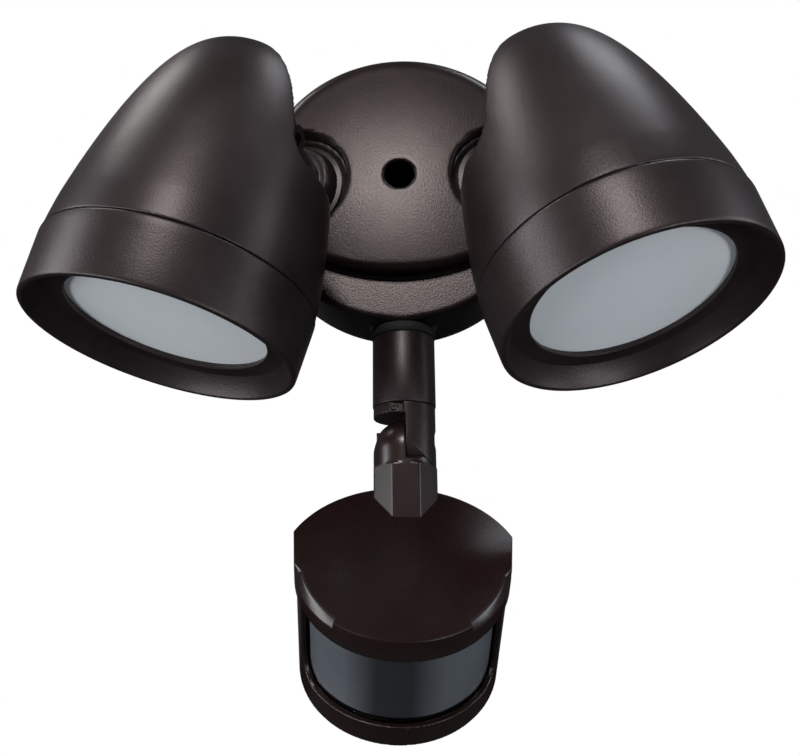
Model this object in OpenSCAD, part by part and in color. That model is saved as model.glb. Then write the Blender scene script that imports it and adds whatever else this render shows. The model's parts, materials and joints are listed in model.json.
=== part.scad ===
/* [Canopy] */
// Diameter of the canopy
canopy_d = 120; // [118:1:124]
// Height of the dome's top above the wall
canopy_h = 38; // [37:0.5:40]
// Radius of the dome's rounded outer edge
canopy_edge_r = 8; // [7:0.5:9]
// Thickness of the canopy's walls
canopy_wall = 3; // [2.5:0.1:3]
// Height of the crescent ledge above the wall
ledge_h = 29.5; // [29:0.5:30.5]
// Radius of the step line above the ledge
step_r = 78; // [76:1:80]
// Height of the step line's centre above the canopy's axis
step_z = 35; // [34:1:37]
// Diameter of the mounting bolt's well
well_d = 12.2; // [11:0.1:13]

/* [Lamp arms] */
// Distance of each arm's seat from the middle
seat_x = 43.3; // [42.5:0.1:43.5]
// Height of the seat's centre above the wall
seat_h = 26.5; // [26:0.5:27]
// Angle by which the arms lean outwards
seat_angle = 14; // [12:1:15]
// Diameter of the round recess at each seat
seat_d = 47.4; // [45:0.2:48]
// Distance from the seat to the tilt pivot
arm_l = 41; // [40:0.5:44]
// Diameter of the arm's neck and eye
neck_d = 25; // [24:0.5:25]
// Diameter of the arm's threaded shank
shank_d = 16; // [14:0.5:16]

/* [Lamp heads] */
// Outward swing of the left head
left_swivel = 12.2; // [0:0.1:30]
// Tilt of the left head from upright
left_tilt = 7.3; // [0:0.1:60]
// Outward swing of the right head
right_swivel = 11.2; // [0:0.1:30]
// Tilt of the right head from upright
right_tilt = 13.3; // [0:0.1:60]
// Diameter of the head at its widest line
head_d = 96; // [94:0.5:97]
// Diameter of the front ring at its rim
rim_d = 94; // [92:0.5:95]
// Length of the whole head
head_l = 118.2; // [116:0.2:122]
// Height of the front ring
ring_h = 22.5; // [20:0.5:23]
// Wall thickness of the head shell
head_wall = 2.5; // [2:0.1:2.6]
// Visible diameter of the lens
lens_d = 69.6; // [66:0.2:70]
// Distance from the rim to the lens
lens_s = 9.7; // [9:0.1:10.5]

/* [Sensor] */
// Height of the tilt pin below the canopy's axis
pin_z = 106.5; // [106:0.5:107]
// Outer diameter of the stem tube
stem_d = 25; // [24:0.5:25]
// Diameter of the sensor's round front
sensor_d = 75.6; // [74:0.2:77]
// Width of the sensor's top across its rear corners
sensor_w = 78.8; // [78:0.2:80]
// Height of the sensor's body
sensor_h = 52; // [50:0.5:53]
// Forward slope of the sensor's top
sensor_slope = 49.4; // [48:0.2:51]
// Turn of the sensor about the stem
sensor_turn = 4.2; // [0:0.2:6]
// Sideways lean of the sensor's body
sensor_lean = 2.1; // [0:0.1:3]

/* [Hidden] */
$fn = 96;

bronze = "#3a2a26";
dark_plastic = "#2a1c1a";
steel = "#b9bcc0";
black = "#1b1b1b";

// Clearances: a turning fit, and a seat between still pieces
run = 0.05;
rest_gap = 0.1;
cut = 1;

// Canopy
canopy_r = canopy_d / 2;
gasket_t = 1.5;
gasket_w = 3;
canopy_back = gasket_t;
dome_rise = 3.1;
dome_r = canopy_r - canopy_edge_r;
dome_sphere_r = (dome_r * dome_r + dome_rise * dome_rise) / (2 * dome_rise);
dome_lip = 4;
dome_steps = 6;
edge_end = 82.5;
side_h = canopy_h - dome_rise - canopy_edge_r;
ledge_wall = 2.5;
step_round = 4;
step_low = 1.6;
well_r = well_d / 2;
well_floor_h = 17;
well_floor_t = 3;
boss_wall = 3;
canopy_hole_r = 3.3;

// Mounting strap and its screws
strap_l = 104;
strap_w = 20;
strap_t = 2;
slot_x = 39.7;
slot_l = 14;
slot_w = 4.8;
bolt_r = 3;
bolt_head_r = 5;
bolt_head_h = 4;
bolt_slot_l = 7;
bolt_slot_w = 1.2;
bolt_slot_t = 1.5;
ground_x = 17;
ground_r = 2;
ground_head_r = 3.8;
ground_head_h = 2.4;
ground_slot_l = 5.4;
ground_slot_w = 1.1;
ground_slot_t = 1;

// Driver box
driver_w = 50;
driver_d = 22;
driver_t = 13;
driver_z = 28;
driver_h = 11;
tab_w = 10;
tab_t = 2;
tab_h = 20;
tab_x = driver_w / 2 + tab_w / 2;
driver_screw_r = 1.5;
driver_screw_l = 8;
driver_head_r = 2.8;
driver_head_h = 1.8;
driver_boss_r = 3.5;

// Arms
seat_r = seat_d / 2;
seat_floor = 3;
shank_r = shank_d / 2;
shank_out = 10;
nut_flats = 24;
nut_t = 5;
washer_t = 1.2;
washer_r = 20.4;
collar_r = 18.5;
collar_top_r = 16;
collar_h = 8;
neck_r = neck_d / 2;
eye_w = neck_d;
wire_r = 3.5;
wire_groove_in = 5.5;
wire_groove_out = 10.5;
wire_groove_t = 3;
wire_drop = 8;
wire_exit_r = 2.3;

// Heads
pivot_to_rim = 90.6;
head_offset = 7;
head_out = 3.4;
band_r = head_d / 2;
rim_r = rim_d / 2;
bell_l = head_l - ring_h;
bell_power = 1.19;
bell_root = 0.285;
bell_steps = 22;
nose_thicker = 1.2;
shell_gap = 0.4;
shell_step = 0.4;
notch_x = eye_w / 2 + 0.6;
notch_front = 24.5;
notch_low = 24.2;
notch_corner = 8;
pivot_r = 3;
pivot_boss_r = 6;
pivot_boss_l = 12;
pivot_boss_end = 1.5;
pivot_pad_r = 11;
pivot_pad_t = 0.4;
pivot_head_r = 5.5;
pivot_head_h = 4;
pivot_key = 5;
pivot_key_t = 2.5;
spring_washer_t = 1.6;

// Front ring and what it holds
lip_t = 2;
mouth_r = 41;
ledge_s = 7.5;
lens_ledge_t = 1.7;
lens_gasket_t = 0.5;
lens_t = 2.5;
lens_r = lens_d / 2 + 3.5;
pocket_r = lens_r + 0.2;
spigot_l = 6;
spigot_r = band_r - head_wall - shell_step - 0.7;
spigot_wall = 2.8;
spigot_in = spigot_r - spigot_wall;
seal_s = 3.2;
seal_r = 1.1;
seal_groove_w = 2.4;
seal_groove_t = 1.9;
reflector_t = 1;
reflector_small_r = 16;
flange_t = 1;
board_r = 30;
board_t = 1.6;
led_w = 3;
led_t = 0.7;
led_pitch = 6;
sink_back = 8.3;
sink_s = ring_h + sink_back;
sink_t = 3;
sink_r = band_r - head_wall - 1.4;
fin_t = 2;
fin_pitch = 7;
fin_l = 14;
fin_r = 28;
sink_screw_at = 39.2;
sink_screw_r = 1.5;
sink_head_r = 2.8;
sink_head_h = 2;
sink_boss_r = 5.2;
sink_boss_top = 60;
sink_screw_l = 11;

// Stem
stem_y = 16.5;
stem_r = stem_d / 2;
pad_r = 12.8;
pad_out = 0.3;
pad_t = 4.5;
pad_in_z = canopy_r - pad_t;
stem_gasket_t = 4;
tube_top = canopy_r + pad_out + stem_gasket_t;
tube_end = 93;
nipple_r = 6.5;
nipple_l = 17;
stem_bore_r = 4.2;
stem_nut_flats = 17;
stem_nut_t = 4.5;
swivel_spigot_r = 7.5;
swivel_spigot_l = 3.8;
swivel_groove_r = 6.6;
groove_half = 1.2;
knuckle_r = 12.2;
shoulder_z = 97.2;
knuckle_floor = 97;
set_screw_r = 1.15;
set_screw_l = 6;
set_screw_bore = 8;
set_screw_key = 1.2;
set_screw_key_t = 0.8;
set_screw_out = 0.6;
set_screw_x = -4.3;
set_screw_z = 95.1;
pocket_w = 7.3;
pocket_t = 1.6;
seam_gap = 0.1;
tongue_gap = 0.2;
ear_r = 12.2;
ear_z = 110.4;
hinge_r = 2;
hinge_head_r = 3.6;
hinge_head_h = 3;
hinge_head_x = 8;
hinge_slot_l = 5.2;
hinge_slot_w = 1;
hinge_slot_t = 1.2;
hinge_nut_flats = 7;
hinge_nut_t = 3;
hinge_nut_x = 7.6;
hinge_l = 19;
hinge_tilt = 37;
channel_r = 2.2;
channel_x = 5;
channel_y = 7;
channel_top = 10;
channel_lean = 36;
channel_l = 22;
lower_neck_r = 11.4;

// Sensor, in a frame whose Z stands square on the sloping top
sensor_y = 42.7;
sensor_z = 154;
sensor_r = sensor_d / 2;
top_t = 2.5;
skirt_h = 8.2;
skirt_wall = 2.2;
bevel_w = 2;
bevel_h = 3;
corner_y = 2.2;
rear_r = 42.8;
rear_y = 38.5;
brow_w = 39;
bezel_r = sensor_r - 0.7;
bezel_wall = 2.2;
bezel_in = bezel_r - bezel_wall;
rim_h = 4.5;
window_angle = 58;
window_top = 10.2;
window_bottom = 39;
window_t = 1.6;
window_lap = 1.5;
window_lap_angle = 2;
back_y = 3.5;
base_t = 2.4;
base_lip = 3;
base_lip_t = 1.5;
post_r = 3;
post_h = 3.8;
post_in = 5;
post_at = bezel_in - post_in;
post_angles = [-160, -90, -20];
base_screw_r = 1.25;
base_head_r = 2.4;
base_head_h = 1.6;
base_screw_l = 5.5;
board_w = 42;
board_h = 26;
board_y = 10;
board_z = 4;
detector_z = 19;
pot_w = 10;
pot_d = 7;
pot_h = 7;
pot_hole = 3;
detector_r = 4.6;
detector_h = 4.4;
detector_flange_r = 5.2;
detector_flange_h = 0.6;
dial_x = 11;
dial_r = 5;
dial_h = 2.5;
dial_shaft_r = 1.6;
dial_slot_w = 1.2;
dial_slot_t = 1;

function swivel_of(side) = side > 0 ? right_swivel : left_swivel;
function tilt_of(side) = side > 0 ? right_tilt : left_tilt;
function bell_r(t, r) = r * pow(1 - pow(t, bell_power), bell_root);
function bell_t(i) = 1 - pow(1 - i / bell_steps, 2);
function dome_h(r, lower) = canopy_h - lower - dome_sphere_r + sqrt(pow(dome_sphere_r, 2) - r * r);

// Turns a shape so that its Z points away from the wall
module outward() rotate([90, 0, 0]) children();

// Places a shape at one arm's seat, with Y into the canopy; side is -1 on the left, 1 on the right
module at_seat(side) mirror([side > 0 ? 1 : 0, 0, 0]) translate([-seat_x, -seat_h, 0])
    rotate([0, 0, -seat_angle]) children();

module at_arm(side) at_seat(side) rotate([0, swivel_of(side), 0]) children();

// Head frame: origin on the tilt pivot, Z towards the nose, Y towards the canopy, X inwards
module at_head(side) at_arm(side) translate([0, -arm_l, 0]) rotate([-tilt_of(side), 0, 0]) children();

// Head's own axis, with Z counted from the rim
module on_head_axis(side) at_head(side) translate([-head_out, -head_offset, -pivot_to_rim]) children();

module at_stem() translate([0, -stem_y, 0]) children();

// What turns under the stem tube
module at_swivel() at_stem() rotate([0, 0, sensor_turn]) children();

module at_hinge() at_swivel() translate([0, 0, -pin_z]) children();

// Sensor frame: Z square on the top, -Y along the slope towards the front
module in_sensor() at_hinge() rotate([0, sensor_lean, 0])
    translate([0, stem_y - sensor_y, pin_z - sensor_z]) rotate([sensor_slope, 0, 0]) children();

module tube(r_out, r_in, h) difference() {
    cylinder(r = r_out, h = h);
    translate([0, 0, -cut]) cylinder(r = r_in, h = h + 2 * cut);
}

module hex(flats, h) cylinder(r = flats / sqrt(3), h = h, $fn = 6);

// Screw with its head below Z = 0 and its shank above
module screw(head_r, head_h, r, l) union() {
    translate([0, 0, -head_h]) cylinder(r = head_r, h = head_h);
    translate([0, 0, -0.01]) cylinder(r = r, h = l);
}

module cross_slot(l, w, t) for (a = [0, 90]) rotate([0, 0, a]) cube([l, w, 2 * t], center = true);

// Canopy

module dome(lower) outward() rotate_extrude()
    polygon(concat(
        [[0, canopy_back - (lower > 0 ? cut : 0)],
         [canopy_r - lower, canopy_back - (lower > 0 ? cut : 0)]],
        [for (a = [0 : 7.5 : edge_end])
            [dome_r + (canopy_edge_r - lower) * cos(a), side_h + (canopy_edge_r - lower) * sin(a)]],
        [for (i = [dome_steps : -1 : 0]) let (r = (dome_r - dome_lip) * i / dome_steps)
            [r, dome_h(r, lower)]]));

// Everything in front of the ledge that the step line cuts away
module crescent(lower) difference() {
    translate([-canopy_r, -canopy_h - cut, -canopy_r - cut])
        cube([canopy_d, canopy_h + cut - ledge_h + lower, canopy_r + cut]);
    translate([0, 0, step_z]) outward() rotate_extrude()
        polygon(concat(
            [[0, ledge_h - lower - cut], [step_r - lower, ledge_h - lower - cut]],
            [for (a = [0 : 15 : 90])
                [step_r - lower - step_round + step_round * cos(a),
                 canopy_h - step_low - step_round - lower + step_round * sin(a)]],
            [[step_r - lower - step_round, canopy_h + canopy_edge_r], [0, canopy_h + canopy_edge_r]]));
}

module canopy_inside() difference() {
    dome(canopy_wall);
    crescent(ledge_wall);
    for (side = [-1, 1]) at_seat(side) outward() translate([0, 0, -seat_floor])
        cylinder(r = seat_r + canopy_wall, h = canopy_h);
    outward() translate([0, 0, well_floor_h - well_floor_t])
        cylinder(r = well_r + boss_wall, h = canopy_h);
    for (side = [-1, 1]) translate([side * tab_x, 0, driver_z]) outward()
        translate([0, 0, tab_h + tab_t]) cylinder(r = driver_boss_r, h = canopy_h);
    at_stem() translate([0, 0, -canopy_r]) cylinder(r = pad_r, h = canopy_r - pad_in_z);
}

module canopy() color(bronze) difference() {
    union() {
        difference() {
            dome(0);
            crescent(0);
        }
        at_stem() translate([0, 0, -canopy_r - pad_out]) cylinder(r = pad_r, h = canopy_r - pad_in_z);
    }
    canopy_inside();
    for (side = [-1, 1]) at_seat(side) outward() {
        cylinder(r = seat_r, h = canopy_h);
        translate([0, 0, -seat_floor - cut]) cylinder(r = shank_r + run, h = seat_floor + 2 * cut);
    }
    outward() {
        translate([0, 0, well_floor_h]) cylinder(r = well_r, h = canopy_h);
        translate([0, 0, well_floor_h - well_floor_t - cut])
            cylinder(r = canopy_hole_r, h = well_floor_t + 2 * cut);
    }
    for (side = [-1, 1]) translate([side * tab_x, 0, driver_z]) outward()
        translate([0, 0, tab_h + tab_t - cut])
            cylinder(r = driver_screw_r, h = driver_screw_l - tab_t + 3 * cut);
    at_stem() translate([0, 0, -canopy_r - pad_out - cut])
        cylinder(r = nipple_r + rest_gap, h = canopy_r - pad_in_z + pad_out + 2 * cut);
}

module wall_gasket() color(black) outward()
    tube(canopy_r - rest_gap, canopy_r - rest_gap - gasket_w, gasket_t);

module mounting_strap() color(steel) outward() difference() {
    translate([-strap_l / 2, -strap_w / 2, 0]) cube([strap_l, strap_w, strap_t]);
    for (side = [-1, 1]) translate([side * slot_x, 0, -cut]) {
        for (end = [-1, 1]) translate([end * (slot_l - slot_w) / 2, 0, 0])
            cylinder(r = slot_w / 2, h = strap_t + 2 * cut);
        translate([-(slot_l - slot_w) / 2, -slot_w / 2, 0])
            cube([slot_l - slot_w, slot_w, strap_t + 2 * cut]);
    }
    translate([0, 0, -cut]) cylinder(r = bolt_r + run, h = strap_t + 2 * cut);
    translate([ground_x, 0, -cut]) cylinder(r = ground_r + run, h = strap_t + 2 * cut);
}

module mounting_bolt() color(steel) outward() difference() {
    translate([0, 0, well_floor_h]) mirror([0, 0, 1])
        screw(bolt_head_r, bolt_head_h, bolt_r, well_floor_h);
    translate([0, 0, well_floor_h + bolt_head_h]) cross_slot(bolt_slot_l, bolt_slot_w, bolt_slot_t);
}

module ground_screw() color("green") outward() difference() {
    translate([ground_x, 0, strap_t]) mirror([0, 0, 1])
        screw(ground_head_r, ground_head_h, ground_r, strap_t);
    translate([ground_x, 0, strap_t + ground_head_h])
        cube([ground_slot_l, ground_slot_w, 2 * ground_slot_t], center = true);
}

module driver_box() color("#dcdcd8") translate([0, 0, driver_z]) outward() difference() {
    union() {
        translate([-driver_w / 2, -driver_d / 2, driver_h]) cube([driver_w, driver_d, driver_t]);
        translate([-driver_w / 2 - tab_w, -tab_w / 2, tab_h]) cube([driver_w + 2 * tab_w, tab_w, tab_t]);
    }
    for (side = [-1, 1]) translate([side * tab_x, 0, tab_h - cut])
        cylinder(r = driver_screw_r + rest_gap, h = tab_t + 2 * cut);
}

module driver_screws() color(steel) for (side = [-1, 1]) translate([side * tab_x, 0, driver_z])
    outward() translate([0, 0, tab_h]) screw(driver_head_r, driver_head_h, driver_screw_r, driver_screw_l);

// Arms

module arm(side) color(bronze) at_arm(side) difference() {
    union() {
        outward() {
            translate([0, 0, -seat_floor - shank_out])
                cylinder(r = shank_r, h = seat_floor + shank_out + washer_t + cut);
            translate([0, 0, washer_t + rest_gap])
                cylinder(r1 = collar_r, r2 = collar_top_r, h = collar_h - washer_t - rest_gap);
            translate([0, 0, collar_h - cut]) cylinder(r = neck_r, h = arm_l - collar_h + cut);
        }
        translate([-eye_w / 2, -arm_l, 0]) rotate([0, 90, 0]) cylinder(r = neck_r, h = eye_w);
    }
    outward() translate([0, 0, -seat_floor - shank_out - cut])
        cylinder(r = wire_r, h = seat_floor + shank_out + cut + arm_l - wire_drop);
    translate([-eye_w / 2 - cut, -arm_l, 0]) rotate([0, 90, 0]) {
        cylinder(r = pivot_r + run, h = eye_w + 2 * cut);
        tube(wire_groove_out, wire_groove_in, wire_groove_t + cut);
    }
    translate([-eye_w / 2 - cut, -arm_l + wire_drop, 0]) rotate([0, 90, 0])
        cylinder(r = wire_exit_r, h = eye_w / 2 + cut);
}

module arm_washer(side) color(steel) at_arm(side) outward() translate([0, 0, rest_gap])
    tube(washer_r, shank_r + rest_gap, washer_t - rest_gap);

module arm_nut(side) color(steel) at_arm(side) outward()
    translate([0, 0, -seat_floor - nut_t - rest_gap]) difference() {
        hex(nut_flats, nut_t);
        translate([0, 0, -cut]) cylinder(r = shank_r + run, h = nut_t + 2 * cut);
    }

// Heads

// Bullet-shaped body of revolution that starts at the ring's rear edge
module bell(lower) translate([0, 0, ring_h]) rotate_extrude()
    polygon(concat(
        [[0, lower > 0 ? -cut : shell_gap],
         [band_r - shell_step - lower, lower > 0 ? -cut : shell_gap]],
        [for (i = [1 : bell_steps - 1])
            [bell_r(bell_t(i), band_r - (i < 2 ? shell_step : 0) - lower),
             bell_t(i) * (bell_l - lower * nose_thicker)]],
        [[0, bell_l - lower * nose_thicker]]));

// Notch at the inner rear that the arm moves in
module notch(grow) translate([-notch_x - grow, 0, 0]) rotate([90, 0, 90]) {
    translate([notch_corner - notch_front, notch_corner - notch_low, 0])
        cylinder(r = notch_corner + grow, h = head_d);
    translate([-notch_front - grow, notch_corner - notch_low, 0]) cube([head_d, head_l, head_d]);
    translate([notch_corner - notch_front, -notch_low - grow, 0]) cube([head_d, head_l, head_d]);
}

module head_shell(side) color(bronze) difference() {
    on_head_axis(side) bell(0);
    difference() {
        on_head_axis(side) bell(head_wall);
        at_head(side) {
            notch(head_wall);
            translate([-notch_x - pivot_boss_l, 0, 0]) rotate([0, 90, 0])
                cylinder(r = pivot_boss_r, h = pivot_boss_l);
        }
        on_head_axis(side) for (a = [30 : 120 : 270]) rotate([0, 0, a])
            translate([sink_screw_at, 0, sink_s + sink_t])
                cylinder(r = sink_boss_r, h = sink_boss_top - sink_s);
    }
    at_head(side) {
        difference() {
            notch(0);
            translate([-notch_x - cut, 0, 0]) rotate([0, 90, 0])
                cylinder(r = pivot_pad_r, h = cut + pivot_pad_t);
        }
        translate([-notch_x - pivot_boss_l + pivot_boss_end, 0, 0]) rotate([0, 90, 0])
            cylinder(r = pivot_r + run, h = pivot_boss_l + cut);
        translate([-notch_x - head_wall - cut, 0, -wire_drop]) rotate([0, 90, 0])
            cylinder(r = wire_exit_r, h = head_wall + 2 * cut);
    }
    on_head_axis(side) for (a = [30 : 120 : 270]) rotate([0, 0, a])
        translate([sink_screw_at, 0, sink_s + sink_t - cut])
            cylinder(r = sink_screw_r + run, h = sink_screw_l + cut);
}

module front_ring(side) color(bronze) on_head_axis(side) rotate_extrude() difference() {
    polygon([
        [rim_r - lip_t, 0], [rim_r - 0.4, 0], [rim_r, 0.5], [band_r, ring_h - 0.3], [band_r - 0.3, ring_h],
        [spigot_r, ring_h], [spigot_r, ring_h + spigot_l], [spigot_in, ring_h + spigot_l],
        [spigot_in, lens_s + lens_t + 0.3], [pocket_r, lens_s + lens_t + 0.3],
        [pocket_r, lens_s - lens_gasket_t], [lens_d / 2, lens_s - lens_gasket_t],
        [lens_d / 2, ledge_s], [mouth_r, ledge_s]]);
    translate([spigot_r - seal_groove_t, ring_h + seal_s - seal_groove_w / 2])
        square([seal_groove_t + cut, seal_groove_w]);
}

module ring_seal(side) color(black) on_head_axis(side) rotate_extrude()
    translate([spigot_r - seal_groove_t + seal_r + run, ring_h + seal_s]) circle(r = seal_r, $fn = 32);

module lens(side) color("#c9d3d8") on_head_axis(side) translate([0, 0, lens_s])
    cylinder(r = lens_r, h = lens_t);

module lens_gasket(side) color(black) on_head_axis(side) translate([0, 0, lens_s - lens_gasket_t])
    tube(lens_r, lens_d / 2 + 0.4, lens_gasket_t);

module reflector(side) color("white") on_head_axis(side) rotate_extrude()
    polygon([
        [lens_r - 3.2, lens_s + lens_t + rest_gap], [lens_r - 0.2, lens_s + lens_t + rest_gap],
        [lens_r - 0.2, lens_s + lens_t + rest_gap + flange_t],
        [lens_r - 2.2, lens_s + lens_t + rest_gap + flange_t],
        [reflector_small_r + reflector_t, sink_s - board_t - rest_gap],
        [reflector_small_r, sink_s - board_t - rest_gap]]);

module led_board(side) color("#e8e8e4") on_head_axis(side) translate([0, 0, sink_s - board_t])
    cylinder(r = board_r, h = board_t);

module leds(side) color("#f2d66b") on_head_axis(side) translate([0, 0, sink_s - board_t - led_t / 2]) {
    cube([led_w, led_w, led_t], center = true);
    for (row = [1, 2]) for (a = [0 : 60 / row : 359]) rotate([0, 0, a]) translate([row * led_pitch, 0, 0])
        cube([led_w, led_w, led_t], center = true);
}

module heat_sink(side) color("#b5b7ba") on_head_axis(side) translate([0, 0, sink_s]) difference() {
    union() {
        cylinder(r = sink_r, h = sink_t - rest_gap);
        intersection() {
            cylinder(r = fin_r, h = sink_t + fin_l);
            for (i = [-3 : 3]) translate([i * fin_pitch - fin_t / 2, -fin_r, 0])
                cube([fin_t, 2 * fin_r, sink_t + fin_l]);
        }
    }
    for (a = [30 : 120 : 270]) rotate([0, 0, a]) translate([sink_screw_at, 0, -cut])
        cylinder(r = sink_screw_r + rest_gap, h = sink_t + 2 * cut);
}

module sink_screws(side) color(steel) on_head_axis(side) for (a = [30 : 120 : 270]) rotate([0, 0, a])
    translate([sink_screw_at, 0, sink_s])
        screw(sink_head_r, sink_head_h, sink_screw_r, sink_t + sink_screw_l - 2 * cut);

module pivot_bolt(side) color(steel) at_head(side)
    translate([eye_w / 2 + spring_washer_t + 2 * rest_gap, 0, 0]) rotate([0, -90, 0]) difference() {
        screw(pivot_head_r, pivot_head_h, pivot_r, eye_w + spring_washer_t + pivot_boss_l - 2 * cut);
        translate([0, 0, -pivot_head_h - cut]) hex(pivot_key, pivot_key_t + cut);
    }

module pivot_washer(side) color(steel) at_head(side) translate([eye_w / 2 + rest_gap, 0, 0])
    rotate([0, 90, 0]) tube(pivot_head_r, pivot_r + rest_gap, spring_washer_t);

// Stem

module stem_gasket() color(black) at_stem() translate([0, 0, -tube_top])
    tube(pad_r, nipple_r + rest_gap, stem_gasket_t);

module stem_tube() color(bronze) at_stem() difference() {
    union() {
        translate([0, 0, -tube_end]) cylinder(r = stem_r, h = tube_end - tube_top);
        translate([0, 0, -tube_top - cut]) cylinder(r = nipple_r, h = nipple_l + cut);
        translate([0, 0, -tube_end - swivel_spigot_l])
            cylinder(r = swivel_spigot_r, h = swivel_spigot_l + cut);
    }
    translate([0, 0, -tube_end - swivel_spigot_l - cut])
        cylinder(r = stem_bore_r, h = tube_end - tube_top + nipple_l + swivel_spigot_l + 2 * cut);
    translate([0, 0, -set_screw_z - groove_half]) tube(stem_r + cut, swivel_groove_r, 2 * groove_half);
}

module stem_nut() color(steel) at_stem() translate([0, 0, -pad_in_z + rest_gap]) difference() {
    hex(stem_nut_flats, stem_nut_t);
    translate([0, 0, -cut]) cylinder(r = nipple_r + run, h = stem_nut_t + 2 * cut);
}

// Round-ended prism about the hinge pin, reaching up from it
module hinge_end(r, up) {
    rotate([0, 90, 0]) cylinder(r = r, h = 4 * r, center = true);
    translate([-2 * r, -r, 0]) cube([4 * r, 2 * r, up]);
}

module set_screw_axis() translate([set_screw_x, -knuckle_r, -set_screw_z]) rotate([-90, 0, 0]) children();

module stem_knuckle() color(bronze) at_swivel() difference() {
    union() {
        translate([0, 0, -shoulder_z]) cylinder(r = knuckle_r, h = shoulder_z - tube_end - tongue_gap);
        intersection() {
            translate([0, 0, -pin_z - knuckle_r])
                cylinder(r = knuckle_r, h = pin_z + knuckle_r - tube_end - tongue_gap);
            translate([seam_gap, -knuckle_r, -pin_z - knuckle_r]) cube([1, 2, 3] * knuckle_r);
            translate([0, 0, -pin_z]) hinge_end(knuckle_r, pin_z);
        }
    }
    translate([0, 0, -knuckle_floor]) cylinder(r = swivel_spigot_r + run, h = knuckle_floor - tube_end + cut);
    translate([channel_x, channel_y, -pin_z - knuckle_r - cut]) cylinder(r = channel_r, h = 2 * knuckle_r);
    translate([set_screw_x - pocket_w / 2, -knuckle_r - cut, -shoulder_z - cut])
        cube([pocket_w, cut + pocket_t, shoulder_z - tube_end + 2 * cut]);
    set_screw_axis() cylinder(r = set_screw_r + run, h = set_screw_bore);
    translate([0, 0, -pin_z]) rotate([0, 90, 0]) {
        cylinder(r = hinge_r + run, h = stem_r);
        translate([0, 0, hinge_nut_x]) hex(hinge_nut_flats + 2 * rest_gap, stem_r);
    }
}

// Its tip runs in the tube's groove
module stem_set_screw() color(steel) at_swivel() intersection() {
    set_screw_axis() translate([0, 0, pocket_t - set_screw_out]) difference() {
        cylinder(r = set_screw_r, h = set_screw_l);
        translate([0, 0, -cut]) hex(set_screw_key, cut + set_screw_key_t);
    }
    translate([0, 0, -set_screw_z - set_screw_l / 2]) tube(stem_r, swivel_groove_r + run, set_screw_l);
}

module hinge_screw() color(steel) at_hinge() translate([-hinge_head_x, 0, 0]) rotate([0, 90, 0])
    difference() {
        screw(hinge_head_r, hinge_head_h, hinge_r, hinge_l);
        translate([0, 0, -hinge_head_h]) cross_slot(hinge_slot_l, hinge_slot_w, hinge_slot_t);
    }

module hinge_nut() color(steel) at_hinge() translate([hinge_nut_x + rest_gap, 0, 0]) rotate([0, 90, 0])
    difference() {
        hex(hinge_nut_flats, hinge_nut_t);
        translate([0, 0, -cut]) cylinder(r = hinge_r + run, h = hinge_nut_t + 2 * cut);
    }

// Sensor

// Space in front of the upright plane that keeps the sensor clear of the wall
module clear_of_wall(inset) at_swivel()
    translate([-canopy_d, stem_y - back_y - inset - canopy_d, -2 * canopy_d])
        cube([2 * canopy_d, canopy_d, 2 * canopy_d]);

// Round front with a wider rear between two corners
module sensor_top_outline(inset) union() {
    circle(r = sensor_r - inset);
    intersection() {
        translate([0, rear_y - rear_r]) circle(r = rear_r - inset);
        translate([-sensor_w / 2 + inset, corner_y + inset]) square([sensor_w - 2 * inset, sensor_w]);
    }
}

module sensor_cap() difference() {
    union() {
        translate([0, 0, -skirt_h]) linear_extrude(skirt_h - bevel_h) sensor_top_outline(0);
        translate([0, 0, -bevel_h]) cylinder(r1 = sensor_r, r2 = sensor_r - bevel_w, h = bevel_h);
        translate([0, 0, -bevel_h]) linear_extrude(bevel_h) intersection() {
            sensor_top_outline(0);
            union() {
                translate([-sensor_w, corner_y]) square([2 * sensor_w, sensor_w]);
                translate([-brow_w / 2, -sensor_w]) square([brow_w, sensor_w]);
            }
        }
    }
    translate([0, 0, -skirt_h - cut]) linear_extrude(skirt_h - top_t + cut) sensor_top_outline(skirt_wall);
}

// Left half keeps a ball-shaped ear; the right half is hollowed for the tongue
module sensor_neck() difference() {
    at_swivel() union() {
        translate([0, 0, -ear_z]) sphere(r = ear_r);
        translate([0, 0, -sensor_z]) cylinder(r = lower_neck_r, h = sensor_z - ear_z);
        translate([0, 0, -ear_z - ear_r]) cylinder(r1 = lower_neck_r, r2 = ear_r, h = ear_r);
    }
    in_sensor() translate([-sensor_w, -sensor_w, -sensor_w - top_t / 2])
        cube([2 * sensor_w, 3 * sensor_w, sensor_w]);
    at_hinge() translate([-seam_gap, 0, 0]) {
        rotate([0, 90, 0]) cylinder(r = knuckle_r + tongue_gap, h = 2 * knuckle_r);
        for (a = [0, hinge_tilt]) rotate([a, 0, 0]) translate([0, -2 * knuckle_r, 0])
            cube([1, 2, 1] * 2 * knuckle_r);
    }
}

module sensor_head() color(dark_plastic) difference() {
    union() {
        in_sensor() sensor_cap();
        sensor_neck();
    }
    at_hinge() rotate([0, -90, 0]) {
        translate([0, 0, -cut]) cylinder(r = hinge_r + run, h = 2 * ear_r);
        translate([0, 0, hinge_head_x]) cylinder(r = hinge_head_r + rest_gap, h = ear_r);
    }
    at_hinge() translate([channel_x, channel_y, -channel_top]) rotate([-channel_lean, 0, 0])
        translate([0, 0, -channel_l]) cylinder(r = channel_r, h = channel_l);
}

module window_wedge(angle, r) linear_extrude(sensor_h)
    polygon([[0, 0], for (a = [-angle : angle / 4 : angle]) [r * sin(a), -r * cos(a)]]);

module base_screw_places() for (a = post_angles) rotate([0, 0, a]) translate([post_at, 0, 0]) children();

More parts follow.
